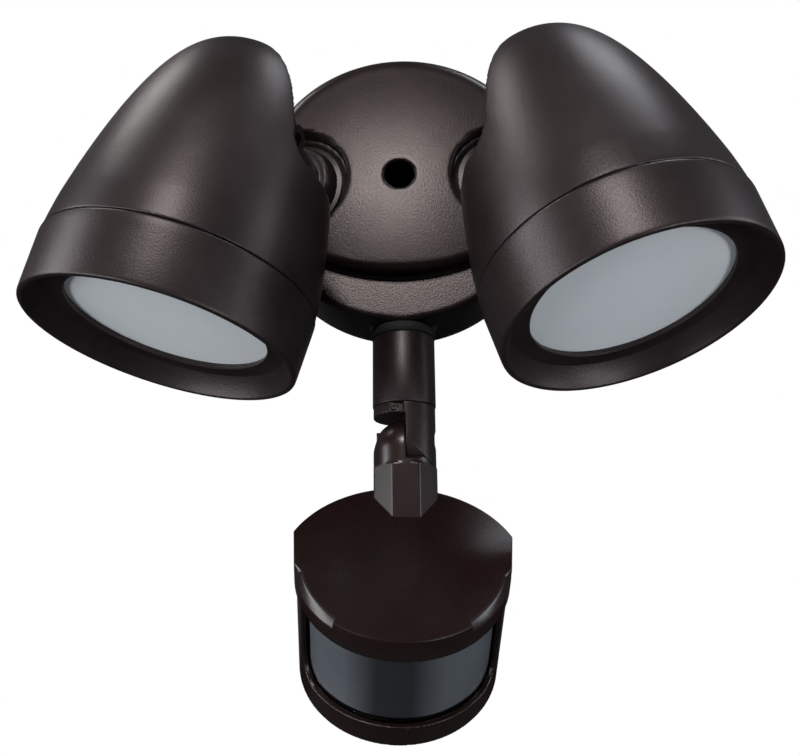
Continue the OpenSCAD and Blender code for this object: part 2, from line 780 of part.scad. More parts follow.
module sensor_bezel() color(dark_plastic) difference() {
    union() {
        difference() {
            intersection() {
                in_sensor() union() {
                    translate([0, 0, -sensor_h]) cylinder(r = bezel_r, h = sensor_h - skirt_h - rest_gap);
                    translate([0, 0, -skirt_h - cut])
                        cylinder(r = sensor_r - skirt_wall - rest_gap, h = cut + rim_h);
                }
                clear_of_wall(0);
            }
            intersection() {
                in_sensor() translate([0, 0, -sensor_h - cut]) cylinder(r = bezel_in, h = sensor_h + cut);
                clear_of_wall(bezel_wall);
            }
        }
        intersection() {
            in_sensor() translate([0, 0, -sensor_h + base_t + rest_gap]) {
                tube(bezel_in + cut, bezel_in - base_lip, base_lip_t);
                base_screw_places() cylinder(r = post_r, h = post_h);
            }
            in_sensor() translate([0, 0, -sensor_h]) cylinder(r = bezel_r - cut, h = sensor_h);
            clear_of_wall(cut);
        }
    }
    in_sensor() translate([0, 0, -window_bottom]) intersection() {
        window_wedge(window_angle, sensor_d);
        cylinder(r = sensor_d, h = window_bottom - window_top);
    }
    in_sensor() translate([0, 0, -sensor_h]) base_screw_places()
        cylinder(r = base_screw_r + run, h = base_screw_l + cut);
}

module sensor_window() color("#20242a") in_sensor() translate([0, 0, -window_bottom - window_lap])
    intersection() {
        tube(bezel_in - rest_gap, bezel_in - rest_gap - window_t,
            window_bottom - window_top + 2 * window_lap);
        window_wedge(window_angle + window_lap_angle, sensor_d);
    }

module sensor_base() color(dark_plastic) difference() {
    intersection() {
        in_sensor() translate([0, 0, -sensor_h]) cylinder(r = bezel_in - rest_gap, h = base_t);
        clear_of_wall(bezel_wall + rest_gap);
    }
    in_sensor() translate([0, 0, -sensor_h - cut]) {
        base_screw_places() cylinder(r = base_screw_r + rest_gap, h = base_t + 2 * cut);
        for (side = [-1, 1]) translate([side * dial_x, -board_y - pot_d / 2, 0])
            cylinder(r = dial_shaft_r + run, h = base_t + 2 * cut);
    }
}

module sensor_screws() color(steel) in_sensor() translate([0, 0, -sensor_h]) base_screw_places()
    screw(base_head_r, base_head_h, base_screw_r, base_screw_l);

module sensor_board() color("#2d6a3a") in_sensor() {
    translate([-board_w / 2, -board_y, -sensor_h + base_t + board_z]) cube([board_w, board_t, board_h]);
    for (side = [-1, 1])
        translate([side * dial_x - pot_w / 2, -board_y - pot_d, -sensor_h + base_t + board_z])
            difference() {
                cube([pot_w, pot_d, pot_h]);
                translate([pot_w / 2, pot_d / 2, -cut]) cylinder(r = dial_shaft_r + run, h = pot_hole + cut);
            }
}

module pir_detector() color(steel) in_sensor()
    translate([0, -board_y - rest_gap, -sensor_h + base_t + board_z + detector_z]) rotate([90, 0, 0]) {
        cylinder(r = detector_flange_r, h = detector_flange_h);
        cylinder(r = detector_r, h = detector_h);
    }

module dial(side) color(black) in_sensor() translate([side * dial_x, -board_y - pot_d / 2, -sensor_h])
    difference() {
        union() {
            translate([0, 0, -dial_h - rest_gap]) cylinder(r = dial_r, h = dial_h);
            translate([0, 0, -dial_h])
                cylinder(r = dial_shaft_r, h = dial_h + base_t + board_z + pot_hole - cut);
        }
        translate([0, 0, -dial_h - rest_gap])
            cube([2 * dial_r + cut, dial_slot_w, 2 * dial_slot_t], center = true);
    }

canopy();
wall_gasket();
mounting_strap();
mounting_bolt();
ground_screw();
driver_box();
driver_screws();
arm(-1);  // left_arm
arm_washer(-1);  // left_arm_washer
arm_nut(-1);  // left_arm_nut
arm(1);  // right_arm
arm_washer(1);  // right_arm_washer
arm_nut(1);  // right_arm_nut
head_shell(-1);  // left_head_shell
front_ring(-1);  // left_front_ring
ring_seal(-1);  // left_ring_seal
lens(-1);  // left_lens
lens_gasket(-1);  // left_lens_gasket
reflector(-1);  // left_reflector
led_board(-1);  // left_led_board
leds(-1);  // left_leds
heat_sink(-1);  // left_heat_sink
sink_screws(-1);  // left_sink_screws
pivot_bolt(-1);  // left_pivot_bolt
pivot_washer(-1);  // left_pivot_washer
head_shell(1);  // right_head_shell
front_ring(1);  // right_front_ring
ring_seal(1);  // right_ring_seal
lens(1);  // right_lens
lens_gasket(1);  // right_lens_gasket
reflector(1);  // right_reflector
led_board(1);  // right_led_board
leds(1);  // right_leds
heat_sink(1);  // right_heat_sink
sink_screws(1);  // right_sink_screws
pivot_bolt(1);  // right_pivot_bolt
pivot_washer(1);  // right_pivot_washer
stem_gasket();
stem_tube();
stem_nut();
stem_knuckle();
stem_set_screw();
hinge_screw();
hinge_nut();
sensor_head();
sensor_bezel();
sensor_window();
sensor_board();
pir_detector();
sensor_base();
dial(-1);  // time_dial
dial(1);  // range_dial
sensor_screws();
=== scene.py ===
import json
import math

import bmesh
import bpy
import numpy as np
from mathutils import Matrix, Vector


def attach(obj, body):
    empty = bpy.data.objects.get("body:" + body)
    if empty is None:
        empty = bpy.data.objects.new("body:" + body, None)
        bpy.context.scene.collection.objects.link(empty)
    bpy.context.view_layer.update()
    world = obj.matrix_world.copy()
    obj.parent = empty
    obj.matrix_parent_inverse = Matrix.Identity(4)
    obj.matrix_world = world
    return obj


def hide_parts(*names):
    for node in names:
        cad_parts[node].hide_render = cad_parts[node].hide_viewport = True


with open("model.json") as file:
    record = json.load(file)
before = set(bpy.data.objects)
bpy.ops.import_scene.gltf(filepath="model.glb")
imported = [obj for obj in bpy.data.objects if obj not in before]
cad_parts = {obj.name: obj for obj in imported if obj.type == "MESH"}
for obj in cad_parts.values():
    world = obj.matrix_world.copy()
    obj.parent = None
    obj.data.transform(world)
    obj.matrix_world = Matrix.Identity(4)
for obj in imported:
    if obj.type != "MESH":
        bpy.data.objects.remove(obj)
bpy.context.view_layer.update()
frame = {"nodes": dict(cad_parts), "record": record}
nodes = frame["nodes"]
print("frame loaded:", len(nodes), "nodes")

mm = 0.001
scene = bpy.context.scene

# where the pieces stand, in millimetres and degrees
placing = {
    "seat": (-43.3, -26.5, 0.0),
    "seatAngle": 14.0,
    "armLength": 41.0,
    "swivel": {"left": 12.2, "right": 11.2},
    "tilt": {"left": 7.3, "right": 13.3},
    "headOffset": (-3.4, -7.0, -90.6),
    "stemY": -16.5,
    "pinZ": -106.5,
    "sensorTurn": 4.2,
    "sensorLean": 2.1,
    "sensorMiddle": (0.0, -42.7, -154.0),
    "sensorSlope": 49.4,
}


# frames

def shift(x, y, z):
    return Matrix.Translation((x, y, z))


def turn(degrees, axis):
    return Matrix.Rotation(math.radians(degrees), 4, axis)


def seatFrame(side):
    flip = Matrix.Scale(-1, 4, (1, 0, 0)) if side == "right" else Matrix()
    return flip @ shift(*placing["seat"]) @ turn(-placing["seatAngle"], "Z")


def armFrame(side):
    return seatFrame(side) @ turn(placing["swivel"][side], "Y")


def headFrame(side):
    tilt = turn(-placing["tilt"][side], "X")
    return armFrame(side) @ shift(0, -placing["armLength"], 0) @ tilt


def headAxis(side):
    return headFrame(side) @ shift(*placing["headOffset"])


outward = turn(90, "X")  # z away from the wall
stemFrame = shift(0, placing["stemY"], 0)
swivelFrame = stemFrame @ turn(placing["sensorTurn"], "Z")
hingeFrame = swivelFrame @ shift(0, 0, placing["pinZ"])
sensorFrame = (
    hingeFrame
    @ turn(placing["sensorLean"], "Y")
    @ shift(0, placing["sensorMiddle"][1] - placing["stemY"],
            placing["sensorMiddle"][2] - placing["pinZ"])
    @ turn(placing["sensorSlope"], "X")
)


# mesh helpers, all in millimetres until an object is placed

def newMesh(name, points, faces):
    mesh = bpy.data.meshes.new(name)
    mesh.from_pydata([tuple(p) for p in points], [], faces)
    bm = bmesh.new()
    bm.from_mesh(mesh)
    bmesh.ops.remove_doubles(bm, verts=bm.verts, dist=1e-5)
    bmesh.ops.dissolve_degenerate(bm, edges=bm.edges, dist=1e-5)
    bmesh.ops.recalc_face_normals(bm, faces=bm.faces)
    bm.to_mesh(mesh)
    bm.free()
    return mesh


# turns a closed outline of (radius, height) points about z
def lathe(name, outline, steps=192):
    points, faces = [], []
    count = len(outline)
    for i in range(steps):
        a = 2 * math.pi * i / steps
        c, s = math.cos(a), math.sin(a)
        points += [(r * c, r * s, z) for r, z in outline]
    for i in range(steps):
        j = (i + 1) % steps
        for k in range(count):
            m = (k + 1) % count
            if outline[k][0] < 1e-9 and outline[m][0] < 1e-9:
                continue
            faces.append((i * count + k, j * count + k, j * count + m, i * count + m))
    return newMesh(name, points, faces)


def cylinder(r, low, high, steps=128):
    return lathe("cylinder", [(0, low), (r, low), (r, high), (0, high)], steps)


def cone(r1, r2, low, high, steps=128):
    return lathe("cone", [(0, low), (r1, low), (r2, high), (0, high)], steps)


def block(x0, y0, z0, x1, y1, z1):
    p = [(x, y, z) for z in (z0, z1) for y in (y0, y1) for x in (x0, x1)]
    f = [(0, 2, 3, 1), (4, 5, 7, 6), (0, 1, 5, 4), (2, 6, 7, 3), (0, 4, 6, 2), (1, 3, 7, 5)]
    return newMesh("block", p, f)


def ball(r, steps=96):
    half = [(r * math.cos(math.radians(a)), r * math.sin(math.radians(a)))
            for a in np.linspace(-90, 90, 49)]
    half[0], half[-1] = (0, -r), (0, r)
    return lathe("ball", half, steps)


def moved(mesh, matrix):
    mesh.transform(matrix)
    if matrix.determinant() < 0:
        mesh.flip_normals()
    return mesh


def temporary(mesh):
    piece = bpy.data.objects.new(mesh.name, mesh)
    scene.collection.objects.link(piece)
    return piece


# the piece's mesh with its modifiers applied; the piece itself goes
def baked(piece):
    bpy.context.view_layer.update()
    graph = bpy.context.evaluated_depsgraph_get()
    mesh = bpy.data.meshes.new_from_object(piece.evaluated_get(graph))
    old = piece.data
    bpy.data.objects.remove(piece)
    bpy.data.meshes.remove(old)
    return mesh


def carve(mesh, cutters, operation="DIFFERENCE"):
    for cutter in cutters:
        piece, tool = temporary(mesh), temporary(cutter)
        cut = piece.modifiers.new("cut", "BOOLEAN")
        cut.operation = operation
        cut.solver = "MANIFOLD"
        cut.object = tool
        mesh = baked(piece)
        bpy.data.objects.remove(tool)
        bpy.data.meshes.remove(cutter)
    return mesh


def united(meshes):
    return carve(meshes[0], meshes[1:], "UNION")


# even mesh with rounded edges, like a coated casting
def softCast(mesh, voxel, passes):
    piece = temporary(mesh)
    remesh = piece.modifiers.new("even", "REMESH")
    remesh.mode = "VOXEL"
    remesh.voxel_size = voxel
    smooth = piece.modifiers.new("soft", "SMOOTH")
    smooth.factor = 0.5
    smooth.iterations = passes
    return baked(piece)


# puts the points that lie near a turned outline exactly on it
def snapRound(mesh, radiusAt, low, high, near, spare):
    count = len(mesh.vertices)
    flat = np.empty(count * 3)
    mesh.vertices.foreach_get("co", flat)
    p = flat.reshape(-1, 3)
    rho = np.hypot(p[:, 0], p[:, 1])
    inside = (p[:, 2] > low) & (p[:, 2] < high)
    target = radiusAt(p[:, 2])
    weight = np.where(inside & (np.abs(rho - target) < near), 1.0, 0.0)
    scale = 1 + weight * spare(p) * (target / np.maximum(rho, 1e-6) - 1)
    p[:, 0] *= scale
    p[:, 1] *= scale
    mesh.vertices.foreach_set("co", p.reshape(-1))
    mesh.update()
    return mesh


# makes the finished piece, on its body and in the place of its nodes
def place(name, mesh, matrix, body, replaced, material, sharp=None):
    mesh.name = name
    moved(mesh, matrix)
    mesh.transform(Matrix.Scale(mm, 4))
    mesh.shade_smooth()
    if sharp is not None:
        mesh.set_sharp_from_angle(angle=math.radians(sharp))
    mesh.materials.clear()
    mesh.materials.append(material)
    piece = bpy.data.objects.new(name, mesh)
    scene.collection.objects.link(piece)
    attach(piece, body)
    if replaced:
        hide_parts(*replaced)
    return piece


# materials

# a surface with soft mottling, fine grain and bumps, all from noise
def surface(name, look):
    m = bpy.data.materials.new(name)
    m.use_nodes = True
    tree = m.node_tree
    shader = tree.nodes["Principled BSDF"]
    shader.inputs["Metallic"].default_value = look.get("metallic", 0.0)
    shader.inputs["IOR"].default_value = look.get("ior", 1.5)
    shader.inputs["Coat Weight"].default_value = look.get("coat", 0.0)
    shader.inputs["Coat Roughness"].default_value = look.get("coatRough", 0.1)
    shader.inputs["Transmission Weight"].default_value = look.get("transmission", 0.0)
    where = tree.nodes.new("ShaderNodeTexCoord")
    stretch = tree.nodes.new("ShaderNodeMapping")
    stretch.inputs["Scale"].default_value = look.get("stretch", (1, 1, 1))
    tree.links.new(where.outputs["Object"], stretch.inputs["Vector"])
    cloud = tree.nodes.new("ShaderNodeTexNoise")
    cloud.inputs["Scale"].default_value = look.get("cloudScale", 40)
    cloud.inputs["Detail"].default_value = 6
    cloud.inputs["Roughness"].default_value = 0.6
    tree.links.new(stretch.outputs["Vector"], cloud.inputs["Vector"])
    tint = tree.nodes.new("ShaderNodeValToRGB")
    tint.color_ramp.elements[0].position = 0.3
    tint.color_ramp.elements[1].position = 0.7
    tint.color_ramp.elements[0].color = (*look["dark"], 1)
    tint.color_ramp.elements[1].color = (*look["light"], 1)
    tree.links.new(cloud.outputs["Fac"], tint.inputs["Fac"])
    tree.links.new(tint.outputs["Color"], shader.inputs["Base Color"])
    grain = tree.nodes.new("ShaderNodeTexNoise")
    grain.inputs["Scale"].default_value = look.get("grainScale", 1500)
    grain.inputs["Detail"].default_value = 3
    tree.links.new(stretch.outputs["Vector"], grain.inputs["Vector"])
    rough = tree.nodes.new("ShaderNodeMapRange")
    rough.inputs["To Min"].default_value = look["rough"][0]
    rough.inputs["To Max"].default_value = look["rough"][1]
    tree.links.new(grain.outputs["Fac"], rough.inputs["Value"])
    tree.links.new(rough.outputs["Result"], shader.inputs["Roughness"])
    bump = tree.nodes.new("ShaderNodeBump")
    bump.inputs["Strength"].default_value = look.get("bump", 0.1)
    bump.inputs["Distance"].default_value = look.get("bumpDepth", 0.0002)
    tree.links.new(grain.outputs["Fac"], bump.inputs["Height"])
    tree.links.new(bump.outputs["Normal"], shader.inputs["Normal"])
    return m


looks = {
    "bronze": {
        "dark": (0.017, 0.010, 0.0105), "light": (0.036, 0.0255, 0.0265), "metallic": 0.45,
        "rough": (0.32, 0.44), "cloudScale": 30, "grainScale": 1800, "bump": 0.3,
    },
    "canopyBronze": {
        "dark": (0.012, 0.006, 0.0055), "light": (0.026, 0.016, 0.0148), "metallic": 0.45,
        "rough": (0.27, 0.37), "cloudScale": 35, "grainScale": 1500, "bump": 0.35,
    },
    "sensorPlastic": {
        "dark": (0.0075, 0.0025, 0.0022), "light": (0.0135, 0.0055, 0.005),
        "rough": (0.22, 0.30), "cloudScale": 25, "grainScale": 1600, "bump": 0.06,
    },
    "neckPlastic": {
        "dark": (0.009, 0.0035, 0.003), "light": (0.018, 0.008, 0.0075),
        "rough": (0.26, 0.34), "cloudScale": 40, "grainScale": 1600, "bump": 0.15,
    },
    "smokedWithPaintedReflection": {
        "dark": (0.085, 0.095, 0.110), "light": (0.125, 0.138, 0.155),
        "rough": (0.12, 0.18), "cloudScale": 20, "grainScale": 900, "bump": 0.03,
        "coat": 0.5, "coatRough": 0.08,
    },
    "frosted": {
        "dark": (0.80, 0.86, 0.90), "light": (0.90, 0.94, 0.97),
        "rough": (0.32, 0.42), "cloudScale": 15, "grainScale": 1200, "bump": 0.08,
    },
    "rubber": {
        "dark": (0.005, 0.005, 0.005), "light": (0.012, 0.0115, 0.0115),
        "rough": (0.65, 0.85), "cloudScale": 60, "grainScale": 1200, "bump": 0.3,
    },
    "zinc": {
        "dark": (0.50, 0.50, 0.50), "light": (0.66, 0.66, 0.65), "metallic": 1.0,
        "rough": (0.25, 0.42), "cloudScale": 90, "grainScale": 1400, "bump": 0.15,
    },
    "darkZinc": {
        "dark": (0.03, 0.027, 0.026), "light": (0.07, 0.064, 0.06), "metallic": 0.9,
        "rough": (0.35, 0.5), "cloudScale": 90, "grainScale": 1400, "bump": 0.15,
    },
    "greenScrew": {
        "dark": (0.03, 0.24, 0.08), "light": (0.05, 0.36, 0.12), "metallic": 0.5,
        "rough": (0.3, 0.45), "cloudScale": 120, "grainScale": 1400, "bump": 0.1,
    },
    "driverCase": {
        "dark": (0.62, 0.62, 0.60), "light": (0.72, 0.72, 0.70),
        "rough": (0.45, 0.6), "cloudScale": 60, "grainScale": 1000, "bump": 0.2,
    },
    "whitePlastic": {
        "dark": (0.74, 0.74, 0.73), "light": (0.84, 0.84, 0.83),
        "rough": (0.25, 0.4), "cloudScale": 60, "grainScale": 900, "bump": 0.1,
    },
    "boardWhite": {
        "dark": (0.66, 0.66, 0.63), "light": (0.80, 0.80, 0.77),
        "rough": (0.3, 0.45), "cloudScale": 160, "grainScale": 1200, "bump": 0.1,
    },
    "ledYellow": {
        "dark": (0.75, 0.58, 0.12), "light": (0.88, 0.74, 0.20),
        "rough": (0.25, 0.4), "cloudScale": 260, "grainScale": 1600, "bump": 0.1,
    },
    "bareAluminium": {
        "dark": (0.62, 0.63, 0.64), "light": (0.76, 0.77, 0.78), "metallic": 1.0,
        "rough": (0.28, 0.42), "cloudScale": 80, "grainScale": 1200, "bump": 0.2,
        "stretch": (1, 1, 8),
    },
    "circuitBoard": {
        "dark": (0.02, 0.12, 0.04), "light": (0.04, 0.22, 0.08),
        "rough": (0.3, 0.5), "cloudScale": 260, "grainScale": 1500, "bump": 0.2,
    },
    "dialBlack": {
        "dark": (0.016, 0.016, 0.016), "light": (0.03, 0.03, 0.03),
        "rough": (0.4, 0.6), "cloudScale": 160, "grainScale": 1400, "bump": 0.2,
    },
}
paint = {name: surface(name, look) for name, look in looks.items()}


# the pane's smoke is multiplied by a tone stored on its points, which holds black towards the edge
# and a painted reflection: a darker middle with paler sides
def smokeByEdgeAndPaintedReflection():
    tree = paint["smokedWithPaintedReflection"].node_tree
    edgeAndPaintedReflection = tree.nodes.new("ShaderNodeVertexColor")
    edgeAndPaintedReflection.layer_name = "edgeAndPaintedReflection"
    ramp = next(n for n in tree.nodes if n.bl_idname == "ShaderNodeValToRGB")
    mix = tree.nodes.new("ShaderNodeMix")
    mix.data_type = "RGBA"
    mix.blend_type = "MULTIPLY"
    mix.inputs["Factor"].default_value = 1.0
    tree.links.new(ramp.outputs["Color"], mix.inputs[6])
    tree.links.new(edgeAndPaintedReflection.outputs["Color"], mix.inputs[7])
    tree.links.new(mix.outputs[2], tree.nodes["Principled BSDF"].inputs["Base Color"])


smokeByEdgeAndPaintedReflection()
print("materials ready:", len(paint))


# lamp heads

headSizes = {
    "bandRadius": 48.0, "ringHeight": 22.5, "length": 118.2,
    "power": 1.19, "root": 0.285, "step": 0.4, "gap": 0.4, "wall": 2.5,
    "notch": (13.1, 24.5, 24.2, 8.0),  # inner side, front, low, corner radius
    "notchReach": (110, 120, 90),  # how far the notch's solid goes past the head
    "boss": (6.0, 12.0, 1.5),  # radius, length, end wall
    "pad": (11.0, 0.4),  # radius, thickness
    "boltRadius": 3.05,
    "sinkBoss": (39.2, 5.2, 33.8, 63.0),  # distance from the axis, radius, low, high
    "sinkHole": (1.55, 30, 44.8),  # radius, low, high
    "sinkAngles": (30, 150, 270),
    "wireExit": (8.0, 2.3),  # drop, radius
    "voxel": 0.85, "passes": 5,
    "snap": (0.9, 0.2, 3.0),  # how near, overlap at the band, stop below the crown
    "snapFade": (2.0, 2.5),  # distance from the notch, width of the fade
    "frontEdge": (0.75, 44.6, 0.35, 47.0, 47.52),  # height, from, flat height, outer, radius
}


def bellOutline(lower, bottom, count):
    s = headSizes
    length = s["length"] - s["ringHeight"] - lower * 1.2
    points = [(0, s["ringHeight"] + bottom), (s["bandRadius"] - s["step"] - lower,
              s["ringHeight"] + bottom)]
    for i in range(1, count):
        t = 1 - (1 - i / count) ** 2
        r = (s["bandRadius"] - lower) * (1 - t ** s["power"]) ** s["root"]
        r -= s["step"] * max(0.0, 1 - 8 * t)
        points.append((r - 0.04, s["ringHeight"] + t * length))
    return points + [(0, s["ringHeight"] + length)]


def notchSolid(grow):
    x, front, low, corner = headSizes["notch"]
    body = []
    for i in range(13):  # rounded corner, seen along the pivot
        a = math.radians(180 + 90 * i / 12)
        body.append((corner - front + (corner + grow) * math.cos(a),
                     corner - low + (corner + grow) * math.sin(a)))
    deep, high, wide = headSizes["notchReach"]
    body += [(deep, -low - grow), (deep, high), (-front - grow, high)]
    count = len(body)
    points = [(x0, y, z) for x0 in (-x - grow, wide) for y, z in body]
    faces = [tuple(range(count)), tuple(range(2 * count - 1, count - 1, -1))]
    faces += [(i, i + count, (i + 1) % count + count, (i + 1) % count) for i in range(count)]
    return newMesh("notch", points, faces)


def makeHeadShell(side):
    s = headSizes
    toRim = shift(*placing["headOffset"]).inverted()  # pivot frame to rim frame
    x = s["notch"][0]
    alongX = turn(90, "Y")
    outer = lathe("outer", bellOutline(0, s["gap"], 60), 192)
    inner = lathe("inner", bellOutline(s["wall"], -1.0, 40), 160)
    inner = carve(inner, [moved(notchSolid(s["wall"]), toRim)])
    bossR, bossL, bossEnd = s["boss"]
    inner = carve(inner, [moved(cylinder(bossR, -x - bossL, -x + 1, 64), toRim @ alongX)])
    at, r, low, high = s["sinkBoss"]
    posts = [moved(cylinder(r, low, high, 48), turn(a, "Z") @ shift(at, 0, 0))
             for a in s["sinkAngles"]]
    inner = carve(inner, posts)
    shell = carve(outer, [inner])
    notch = notchSolid(0)
    padR, padT = s["pad"]
    notch = carve(notch, [moved(cylinder(padR, -x - 1, -x + padT, 96), alongX)])
    drop, wireR = s["wireExit"]
    holes = [
        moved(notch, toRim),
        moved(cylinder(s["boltRadius"], -x - bossL + bossEnd, -x + 2, 48), toRim @ alongX),
        moved(cylinder(wireR, -x - s["wall"] - 1, -x + 2, 48),
              toRim @ shift(0, 0, -drop) @ alongX),
    ]
    holeR, holeLow, holeTop = s["sinkHole"]
    holes += [moved(cylinder(holeR, holeLow, holeTop, 32), turn(a, "Z") @ shift(at, 0, 0))
              for a in s["sinkAngles"]]
    shell = softCast(carve(shell, holes), s["voxel"], s["passes"])

    outline = bellOutline(0, s["gap"], 240)
    zs = np.array([p[1] for p in outline[1:]])
    rs = np.array([p[0] for p in outline[1:]])
    ox, oy, oz = placing["headOffset"]

    def awayFromNotch(p):
        # 0 near the notch and 1 well away from its walls, in the pivot frame
        start, width = s["snapFade"]
        px, py, pz = p[:, 0] + ox, p[:, 1] + oy, p[:, 2] + oz
        d = np.maximum.reduce([-x - px, -s["notch"][1] - py, -s["notch"][2] - pz])
        return np.clip((d - start) / width, 0, 1)

    edge = s["ringHeight"] + s["gap"]
    near, overlap, stop = s["snap"]
    snapRound(shell, lambda z: np.interp(z, zs, rs), edge - overlap, s["length"] - stop,
              near, awayFromNotch)
    # the front edge stays crisp next to the ring
    tall, fromR, flat, outerR, edgeR = s["frontEdge"]
    for v in shell.vertices:
        rho = math.hypot(v.co.x, v.co.y)
        if v.co.z < edge + tall and rho > fromR:
            if v.co.z < edge + flat:
                v.co.z = edge
            if rho > outerR:
                k = edgeR / rho
                v.co.x *= k
                v.co.y *= k
    return place(side + "HeadShell", shell, headAxis(side), side + "_head",
                 [side + "_head_shell"], paint["bronze"])


ringSizes = {
    "outline": [
        (44.95, 0.55), (45.15, 0.2), (45.5, 0.02), (46.1, 0.0), (46.55, 0.12), (46.85, 0.4),
        (46.97, 0.8), (47.05, 1.6), (47.35, 8.0), (47.62, 14.0), (47.85, 19.0), (47.93, 21.4),
        (47.88, 21.95), (47.6, 22.3), (47.2, 22.45), (44.4, 22.5), (44.4, 24.5), (42.5, 24.5),
        (42.5, 26.9), (44.4, 26.9), (44.4, 28.5), (41.6, 28.5), (41.6, 12.5), (38.5, 12.5),
        (38.5, 9.2), (34.95, 9.2), (34.8, 9.05), (34.8, 7.75), (35.05, 7.5), (40.6, 7.5),
        (41.05, 7.25),
    ],
    "lens": [(0, 9.7), (37.9, 9.7), (38.3, 10.1), (38.3, 12.2), (0, 12.2)],
}


def makeRing(side):
    ring = lathe("ring", ringSizes["outline"], 240)
    place(side + "FrontRing", ring, headAxis(side), side + "_head", [side + "_front_ring"],
          paint["bronze"], sharp=38)
    glass = lathe("lens", ringSizes["lens"], 192)
    place(side + "Lens", glass, headAxis(side), side + "_head", [side + "_lens"],
          paint["frosted"], sharp=40)


# arms

armSizes = {
    "shank": (8.0, -13.0, 1.3),  # radius, low, high
    "collar": (18.5, 16.0, 1.3, 8.0),  # lower radius, upper radius, low, high
    "neck": (12.5, 41.0),  # radius, distance of the pivot
    "eyeWidth": 25.0, "boltRadius": 3.05,
    "groove": (10.5, 5.5, 3.0),  # outer radius, inner radius, depth
    "wire": (3.5, 2.3, 8.0),  # radius in the shank, radius in the eye, distance from the pivot
    "washer": [(8.1, 0.1), (20.0, 0.1), (20.35, 0.3), (20.35, 0.95), (20.0, 1.2), (8.1, 1.2)],
    "voxel": 0.5, "passes": 4,
}


def makeArm(side):
    s = armSizes
    shankR, low, high = s["shank"]
    r1, r2, c0, c1 = s["collar"]
    neckR, length = s["neck"]
    half = s["eyeWidth"] / 2
    alongX = turn(90, "Y")
    body = united([
        moved(cylinder(neckR, c1 - 1, length), outward),
        moved(cone(r1, r2, c0, c1), outward),
        moved(cylinder(shankR, low, high + 1), outward),
        moved(cylinder(neckR, -half, half), shift(0, -length, 0) @ alongX),
    ])
    out, inn, deep = s["groove"]
    groove = lathe("groove", [(inn, -half - 1), (out, -half - 1),
                              (out, -half + deep), (inn, -half + deep)], 96)
    wireR, eyeWireR, wireBack = s["wire"]
    body = carve(body, [
        moved(cylinder(wireR, low - 1, length - wireBack, 64), outward),
        moved(cylinder(s["boltRadius"], -half - 1, half + 1, 64), shift(0, -length, 0) @ alongX),
        moved(groove, shift(0, -length, 0) @ alongX),
        moved(cylinder(eyeWireR, -half - 1, 0, 48), shift(0, -length + wireBack, 0) @ alongX),
    ])
    body = softCast(body, s["voxel"], s["passes"])
    place(side + "Arm", body, armFrame(side), side + "_arm_body", [side + "_arm"],
          paint["bronze"])
    washer = lathe("washer", s["washer"], 160)
    place(side + "ArmWasher", washer, armFrame(side) @ outward, side + "_arm_body",
          [side + "_arm_washer"], paint["darkZinc"], sharp=50)


# canopy

canopySizes = {
    "radius": 60.0, "height": 38.0, "edge": 8.0, "wall": 3.0, "back": 1.5, "rise": 3.1,
    "rim": (82.5, 34), "crown": (48, 25),  # end angle or radius, and points of each stretch
    "ledge": 29.5, "ledgeWall": 2.5, "stepRadius": 78.0, "stepZ": 36.0, "stepRound": 4.0,
    "stepLow": 1.6, "seatRadius": 23.7, "seatFloor": 2.9, "shank": 8.05,
    "well": (6.1, 17.0, 3.0, 3.0),  # radius, floor, floor's thickness, wall
    "boltHole": 3.3,
    "pad": (12.8, 60.3, 55.5),  # radius, outer and inner distance below the middle
    "driverBoss": (30.0, 28.0, 3.5, 22.0, 1.5, 29.0),  # x, z, radius, foot, hole, hole's end
    "nipple": 6.6,
    "past": 62, "seatTop": 40, "wellTop": 45,  # where the cutting solids end
    "voxel": 0.8, "passes": 5,
}


def domeOutline(lower):
    s = canopySizes
    domeR = s["radius"] - s["edge"]
    sphere = (domeR ** 2 + s["rise"] ** 2) / (2 * s["rise"])
    side = s["height"] - s["rise"] - s["edge"]
    bottom = s["back"] - (1 if lower else 0)
    points = [(0, bottom), (s["radius"] - lower, bottom)]
    edge = s["edge"] - lower
    for a in np.linspace(0, *s["rim"]):
        a = math.radians(a)
        points.append((domeR + edge * math.cos(a), side + edge * math.sin(a)))
    crownR, crownCount = s["crown"]
    for r in np.linspace(crownR, 0, crownCount):
        points.append((r, s["height"] - lower - sphere + math.sqrt(sphere ** 2 - r * r)))
    return points


def crescentCutter(lower):
    s = canopySizes
    past = s["past"]
    slab = block(-past, -s["height"] - 1, -past, past, -s["ledge"] + lower, 1)
    cornerR = s["stepRadius"] - lower - s["stepRound"]
    top = s["height"] - s["stepLow"] - s["stepRound"] - lower
    outline = [(0, s["ledge"] - lower - 1), (s["stepRadius"] - lower, s["ledge"] - lower - 1)]
    for a in np.linspace(0, 90, 13):
        a = math.radians(a)
        outline.append((cornerR + s["stepRound"] * math.cos(a), top + s["stepRound"] * math.sin(a)))
    outline += [(cornerR, s["height"] + 8), (0, s["height"] + 8)]
    keep = moved(lathe("step", outline, 360), shift(0, 0, s["stepZ"]) @ outward)
    return carve(slab, [keep])


